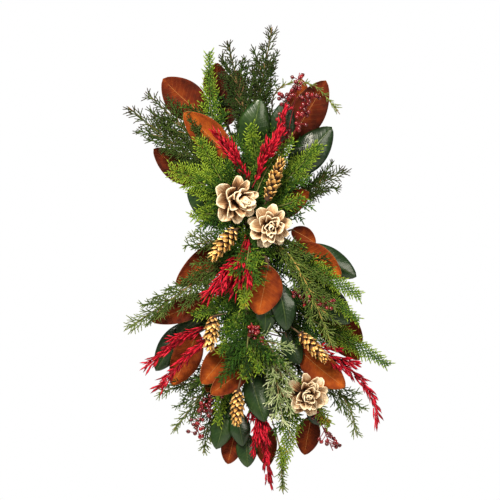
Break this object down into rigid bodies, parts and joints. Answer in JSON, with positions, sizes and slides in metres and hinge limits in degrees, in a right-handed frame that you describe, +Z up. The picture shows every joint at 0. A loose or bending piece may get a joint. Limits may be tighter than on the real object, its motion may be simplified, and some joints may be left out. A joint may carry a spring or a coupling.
{
  "type": "magnolia swag",
  "caption": "Long door swag of magnolia leaves, cedar, juniper, red grass, berries, gold cones and cream rosettes on a wooden lath, pinched at its waist, with a wire bail to hang by.",
  "frame": {"origin": "where the nail in the door meets the inner top of the bail, on the door's face", "axes": "+Z up along the swag's length, +Y into the door, -Y towards the room"},
  "size_m": [0.4597, 0.11, 0.812],
  "materials": {
    "lath_wood": "bare sawn softwood",
    "stem_wood": "bark and cut stem ends",
    "green_wire": "green enamelled florist's wire",
    "steel_wire": "plain drawn wire",
    "magnolia_leaf": "rust felt beneath, glossy dark green above",
    "cedar": "flat scaly fronds, yellow-green to green",
    "juniper": "scaly twigs, olive to silver green",
    "red_grass": "dyed dried grass, crimson",
    "berry": "glossy deep red",
    "gold_paint": "cone scales brushed with gold paint",
    "cream_wash": "woody scales washed with cream"
  },
  "bodies": {
    "root": {"lath": "lath_wood", "stem_bundle": "stem_wood", "binding_wire": "green_wire", "bail": "steel_wire", "magnolia_twig_top": "magnolia_leaf", "magnolia_twig_upper_left": "magnolia_leaf", "magnolia_twig_left": "magnolia_leaf", "magnolia_twig_centre_top": "magnolia_leaf", "magnolia_twig_upper_right": "magnolia_leaf", "magnolia_twig_right": "magnolia_leaf", "magnolia_twig_waist_right": "magnolia_leaf", "magnolia_twig_low_left": "magnolia_leaf", "magnolia_twig_lower_left": "magnolia_leaf", "magnolia_twig_centre": "magnolia_leaf", "magnolia_twig_lower_right": "magnolia_leaf", "magnolia_twig_low_right": "magnolia_leaf", "magnolia_twig_low_centre": "magnolia_leaf", "magnolia_twig_foot_front": "magnolia_leaf", "magnolia_twig_foot": "magnolia_leaf", "magnolia_twig_foot_right": "magnolia_leaf", "cedar_left": "cedar", "cedar_top_left": "cedar", "cedar_centre_top": "cedar", "cedar_right": "cedar", "cedar_waist": "cedar", "cedar_low_left": "cedar", "cedar_lower_left": "cedar", "cedar_low_centre": "cedar", "cedar_foot_left": "cedar", "cedar_waist_right": "cedar", "cedar_foot_right": "cedar", "cedar_lower_right": "cedar", "juniper_left": "juniper", "juniper_top": "juniper", "juniper_arch": "juniper", "juniper_right": "juniper", "juniper_low_left": "juniper", "juniper_waist_right": "juniper", "juniper_centre": "juniper", "juniper_foot": "juniper", "juniper_foot_left": "juniper", "juniper_foot_right": "juniper", "red_grass_top": "red_grass", "red_grass_low": "red_grass", "red_grass_left": "red_grass", "red_grass_foot": "red_grass", "red_grass_right": "red_grass", "berries_top": "berry", "berries_centre": "berry", "berries_right": "berry", "berries_left": "berry", "berries_foot": "berry", "cone_top": "gold_paint", "cone_waist": "gold_paint", "cone_left": "gold_paint", "cone_foot": "gold_paint", "cone_right": "gold_paint", "rosette_left": "cream_wash", "rosette_centre": "cream_wash", "rosette_foot": "cream_wash"}
  },
  "joints": []
}
